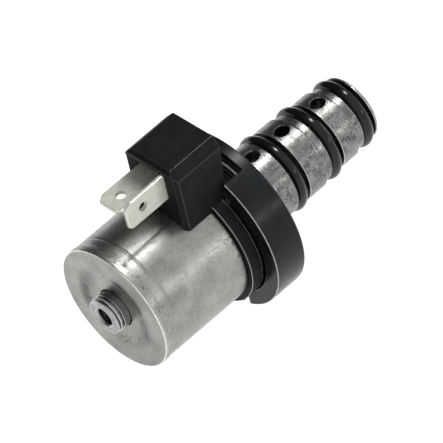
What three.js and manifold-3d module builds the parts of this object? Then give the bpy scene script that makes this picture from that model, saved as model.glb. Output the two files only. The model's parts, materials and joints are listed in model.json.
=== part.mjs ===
// Solenoid directional valve: a coil in a steel can with two blade terminals, a black
// mounting flange, and a stepped spool cartridge with three O-rings.
// Millimetres. +X runs along the valve from the override nose to the cartridge tip, +Z is
// the side of the electrical connector. The origin is the centre of the flange's seating
// face, which rests on the manifold that the cartridge is pushed into.
import * as THREE from 'three';
import { mergeVertices } from 'three/addons/utils/BufferGeometryUtils.js';
import Module from 'manifold-3d';

const wasm = await Module();
wasm.setup();

// ---- fineness -------------------------------------------------------------------------
const FINE = 48;
const MEDIUM = 28;
const COARSE = 20;

// ---- driving dimensions ---------------------------------------------------------------
const CLEAR = 0.1;

const CAN = { front: -33.45, rear: -11.15, radius: 13.6, wall: 1, face: 1.2, hole: 4.25 };
const BEAD = { radius: 13.75, edge: 0.5, end: 1.5, fade: 1.9 };
const DISH = { depth: 0.35, inner: 7.6, outer: 9 };
const NOSE = { front: -36.3, radius: 4, rear: -26.4, head: 4.5, headFront: -31, edge: 0.2 };
const SNAP_GROOVE = { front: -36.05, rear: -34.6, radius: 3.45 };
const SNAP_RING = { thick: 0.34, outer: 3.95, gap: 1 };
const PIN_BORE = { mouth: 1.85, bevel: 0.35, radius: 2.3, front: -35.3, rear: -27.4, guide: 1 };
const NOSE_SEAL = { x: -31.73, ring: 4.6, section: 0.4 };
const OVERRIDE_PIN = { face: -35.3, front: -35, shoulder: -32.1, tip: -25.9 };
const OVERRIDE_RADII = { stem: 1.2, body: 2.1, shank: 0.8 };
const OVERRIDE_GROOVE = { front: -34, rear: -33.1, radius: 1.4 };
const OVERRIDE_RING = { radius: 1.83, section: 0.38 };
const OVERRIDE_SPRING = { radius: 1.5, wire: 0.22, turns: 5 };
const GUIDE_TUBE = { inner: 4.65, outer: 5, front: -30.8, rear: -13.6 };
const BOBBIN = { front: -31.2, rear: -13.6, inner: 5.25, tube: 6.1, flange: 12.3, wall: 1, gap: 0.2 };
const WINDING = { inner: 6.25, outer: 11.6 };
const TAPE_LAYER = { inner: 11.75, outer: 12 };
const ARMATURE = { front: -25.7, rear: -16.9, radius: 4.4, edge: 0.4 };
const POLE = { nose: -14.4, noseRadius: 4.45, edge: 0.3, front: -13.3, rear: -3.2, radius: 12.4 };
const POLE_SEAL = { x: -6, half: 0.6, bottom: 11.7, ring: 12.17, section: 0.42 };
const SEAT_BORE = { radius: 9.2, front: -8.8 };
const PUSH_PIN = { radius: 0.95, front: -25.7, rear: -1.2 };
const BUSH = { outer: 1.7, front: -14.2, rear: -9.2, play: 0.13 };
const SHIM = { thick: 0.25, inner: 1.5, outer: 4.2 };
const PLATE = { front: -2.95, rear: -2.5, radius: 15.7 };

const COLLAR = { front: -11, rear: -8.2, radius: 14.8, skirt: 13.65, skirtRear: -3.2, inner: 12.65 };
const KEY = { half: 7, outer: 14.9, inner: 11 };
const BLOCK = { front: -17.8, bevel: 0.75, top: 26.75, half: 7.2, chamfer: 1.93, foot: 11, lift: 0.15 };
const BLOCK_REAR = { top: -5.5, foot: -7.3 };
const POCKET = { depth: 3.6, left: 6.95, right: -2.5, top: 25.2, bottom: 16.2 };
const NECK = { front: -16.4, half: 4.4, bottom: 12.7 };
const NECK_GAP = 0.2;
const BLADE = { width: 6.3, thick: 0.8, hole: 1.05, root: -13.2, slotGap: 0.15 };
const BLADE_TIP = { length: 1.3, drop: 0.8 };
const BLADE_A = { tip: -26.7, hole: -23.1, y: 3.64, z: 19.7 };
const BLADE_B = { tip: -28.1, hole: -23.9, y: -3.37, z: 22.1 };
const LEAD = { x: -13.55, radius: 0.35, channel: 1.2, bottom: 12.5, offset: -1.5 };

const FLANGE = { radius: 18.2, bore: 8.45, disc: 2.4, thick: 7.5, lip: 15, edge: 0.3 };
const NOTCH = { topHalf: 7.9, bottomHalf: 7.2 };
const PLATE_RECESS = { front: -3.1, radius: 15.9 };
const FACE_GROOVE = { inner: 9.3, outer: 11.2, depth: 1.15 };
const FACE_SEAL = { x: -0.58, ring: 10.25, section: 0.5 };

const SLEEVE = { front: -8.6, rear: 32.25, bore: 3.6, head: 9, headRear: -3.1, lead: 0.6 };
const STEP = { a: 8.15, b: 7.6, c: 7, endA: 16.55, endB: 26, bevel: 0.35 };
const RING_GROOVE = 3.3;
const HEAD_SEAL = { x: -6.2, width: 1.1, bottom: 8.18, ring: 8.68, section: 0.44 };
const RINGS = [
  { name: 'o_ring_1', x: 10.03, groove: 10.36, outer: 8.72, section: 2.5 },
  { name: 'o_ring_2', x: 19.88, groove: 20.27, outer: 8.38, section: 2.4 },
  { name: 'o_ring_3', x: 29.42, groove: 29.75, outer: 7.7, section: 2.5 },
];
const PORTS = { x: [6.05, 14.35, 24.1], radius: 1.5 };
const UNDERCUT = { radius: 4.5, spans: [[4.5, 9.3], [12, 17.5], [20.7, 25.7]] };
const SPOOL = { front: -1, rear: 26.9, radius: 3.5, edge: 0.2, neck: 2.1, neckFront: 8.4, neckRear: 19.6 };
const SPRING_POCKET = { radius: 2.5, bottom: 22 };
const RETURN_SPRING = { radius: 1.95, wire: 0.3, turns: 6 };
const PLUG = { front: 29.7, rear: 30.8, radius: 4, hole: 0.9, counterbore: 29.6 };
const CLIP = { front: 31, rear: 31.5, inner: 3.3, outer: 4.3, gap: 1.6, play: 0.05 };

// ---- finishes -------------------------------------------------------------------------
function finish(color, roughness, metalness) {
  return { color, roughness, metalness };
}
const ZINC = finish(0xaeadaa, 0.42, 0.9);
const STEEL = finish(0x9a9a98, 0.32, 1);
const BRIGHT = finish(0xcccac4, 0.25, 1);
const TIN = finish(0xaaa698, 0.4, 0.9);
const NYLON = finish(0x1d1d1e, 0.6, 0);
const FLANGE_BLACK = finish(0x22272a, 0.35, 0);
const RUBBER = finish(0x101011, 0.5, 0);
const COPPER = finish(0xb0683a, 0.35, 1);
const TAPE = finish(0xc9a640, 0.5, 0);
const BRASS = finish(0xc2a35a, 0.3, 1);
const PTFE = finish(0xe4e2da, 0.5, 0);

// ---- geometry helpers -----------------------------------------------------------------
// A closed mesh with only shared positions, wound outwards.
function closed(geometry) {
  const bare = geometry.clone();
  bare.deleteAttribute('normal');
  bare.deleteAttribute('uv');
  const merged = mergeVertices(bare, 1e-4);
  const index = [...merged.index.array];
  const kept = [];
  for (let i = 0; i < index.length; i += 3) {
    const [a, b, c] = index.slice(i, i + 3);
    if (a !== b && b !== c && c !== a) kept.push(a, b, c);
  }
  merged.setIndex(volumeOf(merged, kept) < 0 ? kept.reverse() : kept);
  return merged;
}

function volumeOf(geometry, index) {
  const p = geometry.getAttribute('position');
  const [a, b, c] = [0, 1, 2].map(() => new THREE.Vector3());
  let volume = 0;
  for (let i = 0; i < index.length; i += 3) {
    a.fromBufferAttribute(p, index[i]);
    b.fromBufferAttribute(p, index[i + 1]);
    c.fromBufferAttribute(p, index[i + 2]);
    volume += a.dot(b.cross(c)) / 6;
  }
  return volume;
}

function toSolid(geometry) {
  const mesh = closed(geometry);
  return new wasm.Manifold(new wasm.Mesh({
    numProp: 3,
    vertProperties: new Float32Array(mesh.getAttribute('position').array),
    triVerts: new Uint32Array(mesh.index.array),
  }));
}

function fromSolid(solid) {
  const mesh = solid.getMesh();
  const geometry = new THREE.BufferGeometry();
  geometry.setAttribute('position', new THREE.BufferAttribute(mesh.vertProperties, 3));
  geometry.setIndex(new THREE.BufferAttribute(mesh.triVerts, 1));
  return geometry;
}

function cut(geometry, ...tools) {
  let solid = toSolid(geometry);
  for (const tool of tools) solid = solid.subtract(toSolid(tool));
  return fromSolid(solid);
}

function join(geometry, ...others) {
  let solid = toSolid(geometry);
  for (const other of others) solid = solid.add(toSolid(other));
  return fromSolid(solid);
}

// Revolves a profile of [x, radius] corners about the valve's axis. A profile that does not
// begin on the axis is closed into a ring.
function revolve(corners, segments) {
  const loop = corners[0][1] === 0 ? corners : [...corners, corners[0]];
  const points = loop.map(([x, radius]) => new THREE.Vector2(radius, x));
  return closed(new THREE.LatheGeometry(points, segments).rotateZ(-Math.PI / 2));
}

// A plain ring of rectangular section.
function ring(front, rear, inner, outer, segments) {
  return revolve([[front, inner], [front, outer], [rear, outer], [rear, inner]], segments);
}

// An O-ring of round section.
function roundRing(x, radius, sectionRadius, segments, sides = 6) {
  const corners = [];
  for (let i = 0; i < sides; i++) {
    const turn = (2 * Math.PI * i) / sides;
    corners.push([x + sectionRadius * Math.cos(turn), radius + sectionRadius * Math.sin(turn)]);
  }
  return revolve(corners, segments);
}

function box(x0, x1, y0, y1, z0, z1) {
  const geometry = new THREE.BoxGeometry(x1 - x0, y1 - y0, z1 - z0);
  return geometry.translate((x0 + x1) / 2, (y0 + y1) / 2, (z0 + z1) / 2);
}

// A plain disc or bar along the valve's axis.
function bar(front, rear, radius, segments) {
  return revolve([[front, 0], [front, radius], [rear, radius], [rear, 0]], segments);
}

// An upright pin.
function upright(x, y, z0, z1, radius, segments) {
  const geometry = new THREE.CylinderGeometry(radius, radius, z1 - z0, segments);
  return geometry.rotateX(Math.PI / 2).translate(x, y, (z0 + z1) / 2);
}

class Helix extends THREE.Curve {
  constructor(front, rear, radius, turns) {
    super();
    Object.assign(this, { front, rear, radius, turns });
  }

  getPoint(t, target = new THREE.Vector3()) {
    const turn = 2 * Math.PI * this.turns * t;
    const x = this.front + (this.rear - this.front) * t;
    return target.set(x, this.radius * Math.cos(turn), this.radius * Math.sin(turn));
  }
}

function spring(front, rear, { radius, wire, turns }) {
  const section = new THREE.Shape();
  for (let i = 0; i < 5; i++) {
    const turn = (2 * Math.PI * i) / 5;
    section[i ? 'lineTo' : 'moveTo'](wire * Math.cos(turn), wire * Math.sin(turn));
  }
  const path = new Helix(front + wire, rear - wire, radius, turns);
  return new THREE.ExtrudeGeometry(section, { extrudePath: path, steps: turns * 10, bevelEnabled: false });
}

// ---- the solenoid's can and nose ------------------------------------------------------
function coilCan() {
  const inner = CAN.radius - CAN.wall;
  const back = CAN.front + CAN.face;
  const shell = revolve([
    [CAN.front + DISH.depth, CAN.hole],
    [CAN.front + DISH.depth, DISH.inner],
    [CAN.front, DISH.outer],
    [CAN.front, BEAD.radius - BEAD.edge],
    [CAN.front + 0.3 * BEAD.edge, BEAD.radius - 0.3 * BEAD.edge],
    [CAN.front + BEAD.edge, BEAD.radius],
    [CAN.front + BEAD.end, BEAD.radius],
    [CAN.front + BEAD.fade, CAN.radius],
    [CAN.rear, CAN.radius],
    [CAN.rear, inner],
    [back, inner],
    [back, CAN.hole],
  ], FINE);
  const half = NECK.half + NECK_GAP;
  return cut(shell, box(NECK.front - NECK_GAP, CAN.rear + 1, -half, half, 0, CAN.radius + 2));
}

function nosePlug() {
  const n = NOSE;
  return revolve([
    [n.front, PIN_BORE.mouth + PIN_BORE.bevel],
    [n.front, n.radius - n.edge],
    [n.front + n.edge, n.radius],
    [SNAP_GROOVE.front, n.radius],
    [SNAP_GROOVE.front, SNAP_GROOVE.radius],
    [SNAP_GROOVE.rear, SNAP_GROOVE.radius],
    [SNAP_GROOVE.rear, n.radius],
    [n.headFront, n.radius],
    [n.headFront, n.head],
    [n.rear, n.head],
    [n.rear, PIN_BORE.guide],
    [PIN_BORE.rear, PIN_BORE.guide],
    [PIN_BORE.rear, PIN_BORE.radius],
    [PIN_BORE.front, PIN_BORE.radius],
    [PIN_BORE.front, PIN_BORE.mouth],
    [n.front + PIN_BORE.bevel, PIN_BORE.mouth],
  ], COARSE);
}

function snapRing() {
  const middle = (SNAP_GROOVE.front + SNAP_GROOVE.rear) / 2;
  const half = SNAP_RING.thick / 2;
  const whole = ring(middle - half, middle + half, SNAP_GROOVE.radius + CLEAR, SNAP_RING.outer, COARSE);
  const gap = SNAP_RING.gap / 2;
  return cut(whole, box(middle - 1, middle + 1, -gap, gap, -NOSE.radius - 1, 0));
}

function overridePin() {
  const o = OVERRIDE_PIN;
  const { stem, body, shank } = OVERRIDE_RADII;
  return revolve([
    [o.face, 0],
    [o.face, stem],
    [o.front, stem],
    [o.front, body],
    [OVERRIDE_GROOVE.front, body],
    [OVERRIDE_GROOVE.front, OVERRIDE_GROOVE.radius],
    [OVERRIDE_GROOVE.rear, OVERRIDE_GROOVE.radius],
    [OVERRIDE_GROOVE.rear, body],
    [o.shoulder, body],
    [o.shoulder, shank],
    [o.tip, shank],
    [o.tip, 0],
  ], COARSE);
}

function overrideRing() {
  const middle = (OVERRIDE_GROOVE.front + OVERRIDE_GROOVE.rear) / 2;
  return roundRing(middle, OVERRIDE_RING.radius, OVERRIDE_RING.section, COARSE);
}

// ---- the coil and the magnetic parts --------------------------------------------------
function coilBobbin() {
  const b = BOBBIN;
  return revolve([
    [b.front, b.inner],
    [b.front, b.flange],
    [b.front + b.wall, b.flange],
    [b.front + b.wall, b.tube],
    [b.rear - b.wall, b.tube],
    [b.rear - b.wall, b.flange],
    [b.rear, b.flange],
    [b.rear, b.inner],
  ], MEDIUM);
}

function betweenBobbinFlanges(inner, outer) {
  const inset = BOBBIN.wall + BOBBIN.gap;
  return ring(BOBBIN.front + inset, BOBBIN.rear - inset, inner, outer, MEDIUM);
}

function guideTube() {
  const g = GUIDE_TUBE;
  return ring(g.front, g.rear, g.inner, g.outer, MEDIUM);
}

function antiStickShim() {
  const rear = POLE.nose - CLEAR;
  return ring(rear - SHIM.thick, rear, SHIM.inner, SHIM.outer, MEDIUM);
}

function armature() {
  const a = ARMATURE;
  const bore = PUSH_PIN.radius + CLEAR;
  return revolve([
    [a.front, bore],
    [a.front, a.radius - a.edge],
    [a.front + a.edge, a.radius],
    [a.rear - a.edge, a.radius],
    [a.rear, a.radius - a.edge],
    [a.rear, bore],
  ], MEDIUM);
}

function poleBody() {
  const p = POLE;
  const bore = BUSH.outer + CLEAR;
  return revolve([
    [p.nose, bore],
    [p.nose, p.noseRadius - p.edge],
    [p.nose + p.edge, p.noseRadius],
    [p.front, p.noseRadius],
    [p.front, p.radius],
    [POLE_SEAL.x - POLE_SEAL.half, p.radius],
    [POLE_SEAL.x - POLE_SEAL.half, POLE_SEAL.bottom],
    [POLE_SEAL.x + POLE_SEAL.half, POLE_SEAL.bottom],
    [POLE_SEAL.x + POLE_SEAL.half, p.radius],
    [p.rear, p.radius],
    [p.rear, SEAT_BORE.radius],
    [SEAT_BORE.front, SEAT_BORE.radius],
    [SEAT_BORE.front, bore],
  ], MEDIUM);
}

// ---- the connector --------------------------------------------------------------------
function blockOutline() {
  const b = BLOCK;
  const shoulder = b.half - b.chamfer;
  return polygon([
    [-b.half, b.foot],
    [b.half, b.foot],
    [b.half, b.top - b.chamfer],
    [shoulder, b.top],
    [-shoulder, b.top],
    [-b.half, b.top - b.chamfer],
  ]);
}

// Turns a shape drawn in the YZ plane and extruded along Z into one extruded along X.
function standAcross(geometry, front) {
  const turn = new THREE.Matrix4().makeBasis(
    new THREE.Vector3(0, 1, 0), new THREE.Vector3(0, 0, 1), new THREE.Vector3(1, 0, 0));
  return geometry.applyMatrix4(turn).translate(front, 0, 0);
}

function polygon(corners) {
  return new THREE.Shape(corners.map(([x, y]) => new THREE.Vector2(x, y)));
}

// The block seen from the side: a bevelled front edge and a rear face that leans back.
function blockSide() {
  const b = BLOCK;
  const width = 2 * b.half + 2;
  const side = polygon([
    [b.front, b.foot],
    [b.front, b.top - b.bevel],
    [b.front + b.bevel, b.top],
    [BLOCK_REAR.top, b.top],
    [BLOCK_REAR.foot, b.foot],
  ]);
  const slab = new THREE.ExtrudeGeometry(side, { depth: width, bevelEnabled: false });
  return slab.rotateX(Math.PI / 2).translate(0, width / 2, 0);
}

// The block seen from above: bevelled front corners.
function blockPlan() {
  const b = BLOCK;
  const rear = BLOCK_REAR.top + 1;
  const plan = polygon([
    [b.front, b.bevel - b.half],
    [b.front + b.bevel, -b.half],
    [rear, -b.half],
    [rear, b.half],
    [b.front + b.bevel, b.half],
    [b.front, b.half - b.bevel],
  ]);
  return new THREE.ExtrudeGeometry(plan, { depth: b.top + 1, bevelEnabled: false });
}

function connectorBlock() {
  const options = { depth: BLOCK_REAR.top + 1 - BLOCK.front, bevelEnabled: false };
  const across = standAcross(new THREE.ExtrudeGeometry(blockOutline(), options), BLOCK.front);
  const block = toSolid(across).intersect(toSolid(blockSide())).intersect(toSolid(blockPlan()));
  const canClearance = bar(BLOCK.front - 1, BLOCK_REAR.top + 3, CAN.radius + BLOCK.lift, FINE);
  return cut(fromSolid(block), canClearance);
}

function connectorCollar() {
  const c = COLLAR;
  return revolve([
    [c.front, c.inner],
    [c.front, c.radius],
    [c.rear, c.radius],
    [c.rear, c.skirt],
    [c.skirtRear, c.skirt],
    [c.skirtRear, c.inner],
  ], FINE);
}

// Room for each blade's root and for the lead wire below it.
function bladeSlots() {
  const thick = BLADE.thick / 2 + BLADE.slotGap;
  const wide = BLADE.width / 2 + BLADE.slotGap;
  const a = BLADE_A;
  const b = BLADE_B;
  const rear = BLADE.root + BLADE.slotGap;
  const front = BLOCK.front - 1;
  return [
    box(front, rear, a.y - wide, a.y + wide, a.z - thick, a.z + thick),
    box(front, rear, b.y - thick, b.y + thick, b.z - wide, b.z + wide),
    leadChannel(a.y + LEAD.offset, a.z),
    leadChannel(b.y, b.z),
  ];
}

function leadChannel(y, top) {
  const side = LEAD.channel / 2;
  return box(LEAD.x - side, LEAD.x + side, y - side, y + side, NECK.bottom - 1, top);
}

// The key under the skirt that sits in the flange's lower notch.
function collarKey() {
  return box(COLLAR.rear - 0.5, COLLAR.skirtRear, -KEY.half, KEY.half, -KEY.outer, -KEY.inner);
}

function connectorHousing() {
  const p = POCKET;
  const neck = box(NECK.front, COLLAR.rear, -NECK.half, NECK.half, NECK.bottom, BLOCK.foot + 5);
  const pocket = box(BLOCK.front - 1, BLOCK.front + p.depth, p.right, p.left, p.bottom, p.top);
  const body = join(connectorBlock(), connectorCollar(), neck, collarKey());
  const poleClearance = bar(COLLAR.front - 6, COLLAR.skirtRear + 1, COLLAR.inner, FINE);
  return cut(body, poleClearance, pocket, ...bladeSlots());
}

// A flat blade lying along X, centred across, with a tapered tip and a detent hole.
function bladeGeometry({ tip, hole }) {
  const half = BLADE.width / 2;
  const shoulder = tip + BLADE_TIP.length;
  const outline = polygon([
    [BLADE.root, -half],
    [shoulder, -half],
    [tip, BLADE_TIP.drop - half],
    [tip, half - BLADE_TIP.drop],
    [shoulder, half],
    [BLADE.root, half],
  ]);
  const options = { depth: BLADE.thick, bevelEnabled: false };
  const blade = new THREE.ExtrudeGeometry(outline, options).translate(0, 0, -BLADE.thick / 2);
  return cut(blade, upright(hole, 0, -BLADE.thick, BLADE.thick, BLADE.hole, COARSE));
}

function leadWire(y, bladeUnderside) {
  return upright(LEAD.x, y, LEAD.bottom, bladeUnderside - CLEAR, LEAD.radius, 12);
}

// ---- the flange and the cartridge -----------------------------------------------------
function mountingFlange() {
  const f = FLANGE;
  const g = FACE_GROOVE;
  const whole = revolve([
    [-f.disc, f.bore],
    [-f.disc, PLATE_RECESS.radius],
    [PLATE_RECESS.front, PLATE_RECESS.radius],
    [PLATE_RECESS.front, f.lip],
    [-f.thick, f.lip],
    [-f.thick, f.radius - f.edge],
    [-f.thick + f.edge, f.radius],
    [-f.edge, f.radius],
    [0, f.radius - f.edge],
    [0, g.outer],
    [-g.depth, g.outer],
    [-g.depth, g.inner],
    [0, g.inner],
    [0, f.bore],
  ], FINE);
  const above = box(-f.thick - 1, -f.disc, -NOTCH.topHalf, NOTCH.topHalf, f.bore, f.radius + 1);
  const below = box(-f.thick - 1, -f.disc, -NOTCH.bottomHalf, NOTCH.bottomHalf, -f.radius - 1, -f.bore);
  return cut(whole, above, below);
}

// A rectangular groove in the sleeve's outside, as four profile corners.
function groove(x, width, bottom, before, after) {
  const half = width / 2;
  return [[x - half, before], [x - half, bottom], [x + half, bottom], [x + half, after]];
}

function ringGroove(spec, radius) {
  const bottom = spec.outer - spec.section - CLEAR / 2;
  return groove(spec.groove, RING_GROOVE, bottom, radius, radius);
}

function sleeveOutside() {
  const s = STEP;
  return [
    [SLEEVE.front, SLEEVE.head],
    ...groove(HEAD_SEAL.x, HEAD_SEAL.width, HEAD_SEAL.bottom, SLEEVE.head, SLEEVE.head),
    [SLEEVE.headRear, SLEEVE.head],
    [SLEEVE.headRear, s.a],
    ...ringGroove(RINGS[0], s.a),
    [s.endA, s.a],
    [s.endA + s.bevel, s.b],
    ...ringGroove(RINGS[1], s.b),
    [s.endB, s.b],
    [s.endB + s.bevel, s.c],
    ...ringGroove(RINGS[2], s.c),
    [SLEEVE.rear - SLEEVE.lead, s.c],
    [SLEEVE.rear, s.c - SLEEVE.lead],
  ];
}

function sleeveInside() {
  const corners = [
    [SLEEVE.rear, PLUG.radius + CLEAR],
    [CLIP.rear + CLIP.play, PLUG.radius + CLEAR],
    [CLIP.rear + CLIP.play, CLIP.outer + CLEAR],
    [CLIP.front - CLIP.play, CLIP.outer + CLEAR],
    [CLIP.front - CLIP.play, PLUG.radius + CLEAR],
    [PLUG.counterbore, PLUG.radius + CLEAR],
    [PLUG.counterbore, SLEEVE.bore],
  ];
  for (const [start, end] of [...UNDERCUT.spans].reverse()) {
    corners.push([end, SLEEVE.bore], [end, UNDERCUT.radius]);
    corners.push([start, UNDERCUT.radius], [start, SLEEVE.bore]);
  }
  corners.push([SLEEVE.front, SLEEVE.bore]);
  return corners;
}

function cartridgeSleeve() {
  const reach = STEP.a + 1;
  const drills = PORTS.x.map((x) => upright(x, 0, -reach, reach, PORTS.radius, 20));
  return cut(revolve([...sleeveOutside(), ...sleeveInside()], MEDIUM), ...drills);
}

function spool() {
  const s = SPOOL;
  return revolve([
    [s.front, 0],
    [s.front, s.radius - s.edge],
    [s.front + s.edge, s.radius],
    [s.neckFront, s.radius],
    [s.neckFront, s.neck],
    [s.neckRear, s.neck],
    [s.neckRear, s.radius],
    [s.rear, s.radius],
    [s.rear, SPRING_POCKET.radius],
    [SPRING_POCKET.bottom, SPRING_POCKET.radius],
    [SPRING_POCKET.bottom, 0],
  ], MEDIUM);
}

function retainingClip() {
  const whole = ring(CLIP.front, CLIP.rear, CLIP.inner, CLIP.outer, COARSE);
  const gap = CLIP.gap / 2;
  return cut(whole, box(CLIP.front - 1, CLIP.rear + 1, -gap, gap, -CLIP.outer - 1, 0));
}

// ---- assembly -------------------------------------------------------------------------
const valve = new THREE.Group();

function add(name, geometry, look) {
  const mesh = new THREE.Mesh(geometry, new THREE.MeshStandardMaterial(look));
  mesh.name = name;
  valve.add(mesh);
  return mesh;
}

add('coil_can', coilCan(), ZINC);
add('nose_plug', nosePlug(), STEEL);
add('nose_snap_ring', snapRing(), BRIGHT);
add('nose_seal', roundRing(NOSE_SEAL.x, NOSE_SEAL.ring, NOSE_SEAL.section, MEDIUM), RUBBER);
add('override_pin', overridePin(), STEEL);
add('override_o_ring', overrideRing(), RUBBER);
add('override_spring', spring(OVERRIDE_PIN.shoulder + CLEAR, PIN_BORE.rear - CLEAR, OVERRIDE_SPRING), BRIGHT);
add('coil_bobbin', coilBobbin(), NYLON);
add('coil_winding', betweenBobbinFlanges(WINDING.inner, WINDING.outer), COPPER);
add('winding_tape', betweenBobbinFlanges(TAPE_LAYER.inner, TAPE_LAYER.outer), TAPE);
add('guide_tube', guideTube(), BRIGHT);
add('armature', armature(), STEEL);
add('push_pin', bar(PUSH_PIN.front, PUSH_PIN.rear, PUSH_PIN.radius, COARSE), BRIGHT);
add('anti_stick_shim', antiStickShim(), BRASS);
add('pin_bush', ring(BUSH.front, BUSH.rear, PUSH_PIN.radius + BUSH.play, BUSH.outer, COARSE), PTFE);
add('pole_body', poleBody(), STEEL);
add('pole_seal', roundRing(POLE_SEAL.x, POLE_SEAL.ring, POLE_SEAL.section, MEDIUM), RUBBER);
add('pole_plate', ring(PLATE.front, PLATE.rear, FLANGE.bore, PLATE.radius, FINE), BRIGHT);
add('connector_housing', connectorHousing(), NYLON);
const bladeA = add('terminal_blade_a', bladeGeometry(BLADE_A), TIN);
bladeA.position.set(0, BLADE_A.y, BLADE_A.z);
const bladeB = add('terminal_blade_b', bladeGeometry(BLADE_B), TIN);
bladeB.position.set(0, BLADE_B.y, BLADE_B.z);
bladeB.rotation.x = Math.PI / 2;
add('lead_wire_a', leadWire(BLADE_A.y + LEAD.offset, BLADE_A.z - BLADE.thick / 2), COPPER);
add('lead_wire_b', leadWire(BLADE_B.y, BLADE_B.z - BLADE.width / 2), COPPER);
add('mounting_flange', mountingFlange(), FLANGE_BLACK);
add('flange_face_seal', roundRing(FACE_SEAL.x, FACE_SEAL.ring, FACE_SEAL.section, MEDIUM), RUBBER);
add('cartridge_sleeve', cartridgeSleeve(), STEEL);
add('sleeve_head_seal', roundRing(HEAD_SEAL.x, HEAD_SEAL.ring, HEAD_SEAL.section, MEDIUM), RUBBER);
for (const spec of RINGS) {
  const half = spec.section / 2;
  add(spec.name, roundRing(spec.x, spec.outer - half, half, MEDIUM, 10), RUBBER);
}
add('spool', spool(), BRIGHT);
add('return_spring', spring(SPRING_POCKET.bottom + CLEAR, PLUG.front - CLEAR, RETURN_SPRING), BRIGHT);
add('end_plug', ring(PLUG.front, PLUG.rear, PLUG.hole, PLUG.radius, COARSE), STEEL);
add('end_clip', retainingClip(), BRIGHT);

export default valve;
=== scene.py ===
"""Solenoid directional valve: the finished look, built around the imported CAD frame.

Lengths are written in millimetres and turned into metres when a mesh is made. +X runs along
the valve from the override nose to the cartridge tip, and +Z is the connector's side.
"""
import json
import math
from types import SimpleNamespace as Sizes

import bmesh
import bpy
from mathutils import Matrix, Vector

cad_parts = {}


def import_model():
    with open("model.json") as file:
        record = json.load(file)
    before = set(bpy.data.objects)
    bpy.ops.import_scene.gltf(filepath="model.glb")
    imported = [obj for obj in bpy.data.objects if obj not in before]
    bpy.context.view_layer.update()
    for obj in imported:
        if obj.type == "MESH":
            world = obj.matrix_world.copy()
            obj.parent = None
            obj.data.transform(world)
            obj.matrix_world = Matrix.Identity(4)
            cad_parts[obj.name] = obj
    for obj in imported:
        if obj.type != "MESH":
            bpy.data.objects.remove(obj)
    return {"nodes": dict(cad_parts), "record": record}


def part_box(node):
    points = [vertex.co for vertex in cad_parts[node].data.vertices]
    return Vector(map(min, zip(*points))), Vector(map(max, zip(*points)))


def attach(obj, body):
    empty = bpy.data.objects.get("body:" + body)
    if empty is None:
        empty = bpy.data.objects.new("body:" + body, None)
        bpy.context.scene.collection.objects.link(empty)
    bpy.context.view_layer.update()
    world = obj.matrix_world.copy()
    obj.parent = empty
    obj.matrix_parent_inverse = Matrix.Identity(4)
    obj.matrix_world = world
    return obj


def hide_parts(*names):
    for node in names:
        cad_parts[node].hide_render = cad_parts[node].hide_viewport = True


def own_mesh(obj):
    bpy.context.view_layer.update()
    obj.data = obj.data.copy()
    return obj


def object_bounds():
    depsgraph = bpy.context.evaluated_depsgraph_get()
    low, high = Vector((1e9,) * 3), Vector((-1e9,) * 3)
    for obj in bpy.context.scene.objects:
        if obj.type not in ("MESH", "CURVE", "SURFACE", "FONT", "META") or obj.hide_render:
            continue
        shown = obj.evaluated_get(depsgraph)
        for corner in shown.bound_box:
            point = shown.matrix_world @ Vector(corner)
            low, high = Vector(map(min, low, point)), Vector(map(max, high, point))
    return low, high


MM = 0.001

# ---- fineness --------------------------------------------------------------------------
LATHE_STEPS = 144
SMALL_LATHE_STEPS = 64
SPOOL_STEPS = 96
CIRCLE_STEPS = 40
TORUS_SIDES = 24
WIRE_SIDES = 10
STEPS_PER_TURN = 28
ARC_STEPS = 4
EDGE_SEGMENTS = 3
SMOOTH_ANGLE = math.radians(38)
BEVEL_ANGLE = math.radians(30)

# The second material of every finished mesh paints a highlight on its edges: the bevels, and the
# rounded corners of a lathe that are no larger than EDGE_RADIUS.
EDGE = 1
EDGE_RADIUS = 0.45

# ---- driving dimensions ----------------------------------------------------------------
# How far a cutting tool reaches past what it cuts.
PAST = 1.0

CAN = Sizes(side=13.6, inner=12.6, wall=1.2, hole=4.25)
BEAD = Sizes(front=0.55, rear=1.3, fade=2.3)
CREASE = Sizes(front=3.75, middle=4.15, rear=4.5, depth=0.13)
DISH = Sizes(depth=0.35, inner=7.4, outer=9.2)
LEAD_WINDOW = Sizes(front=-16.6, half=4.6, bottom=5, top=16)

NOSE = Sizes(radius=4.0, tip=3.7, lip=3.95, head_front=-31)
SNAP_GROOVE = Sizes(front=0.25, rear=1.7, radius=3.2)
SNAP_RING = Sizes(inner=3.3, outer=3.95, half_gap=0.5)
PIN_BORE = Sizes(mouth=1.85, bevel=0.35, radius=2.3, front=-35.3, rear=-27.4, guide=1)
OVERRIDE_PIN = Sizes(stem=1.2, shank=0.8, front=-35, shoulder=-32.1)
OVERRIDE_GROOVE = Sizes(front=-34, rear=-33.1, radius=1.4)

BLOCK = Sizes(half=7.2, foot=11, rear=-4, rear_top=-5.5, rear_foot=-7.3, chamfer=1.93, edge=0.75)
BLOCK_BEVEL = 0.13
POCKET = Sizes(depth=3.6, right=-2.5, left=6.95, bottom=16.2, top=25.2)
CAN_ROOM = 13.75
POLE_ROOM = 12.64
COLLAR = Sizes(front=-11, rear=-8.2, outer=14.8, inner=12.65, skirt=13.65, skirt_rear=-3.2)
NECK = Sizes(front=-16.4, rear=-8.6, half=4.4, bottom=12.7, top=16)
KEY = Sizes(front=-8.7, half=7, bottom=-14.9, top=-11)
BLADE = Sizes(half=3.15, half_thick=0.4, hole=1.05, bevel=0.14, slot_gap=0.15)
BLADE_TIP = Sizes(low_length=0.85, low_rise=0.75, high_length=1.6, high_drop=1.0)

FLANGE = Sizes(bore=8.45, lip=15, disc=-2.4)
PLATE_RECESS = Sizes(front=-3.1, radius=15.9)
FACE_GROOVE = Sizes(inner=9.3, outer=11.2, bottom=-1.15)
NOTCH = Sizes(top_half=7.9, bottom_half=7.2, start=8)
FACE_SEAL_RING = 10.25

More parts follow.
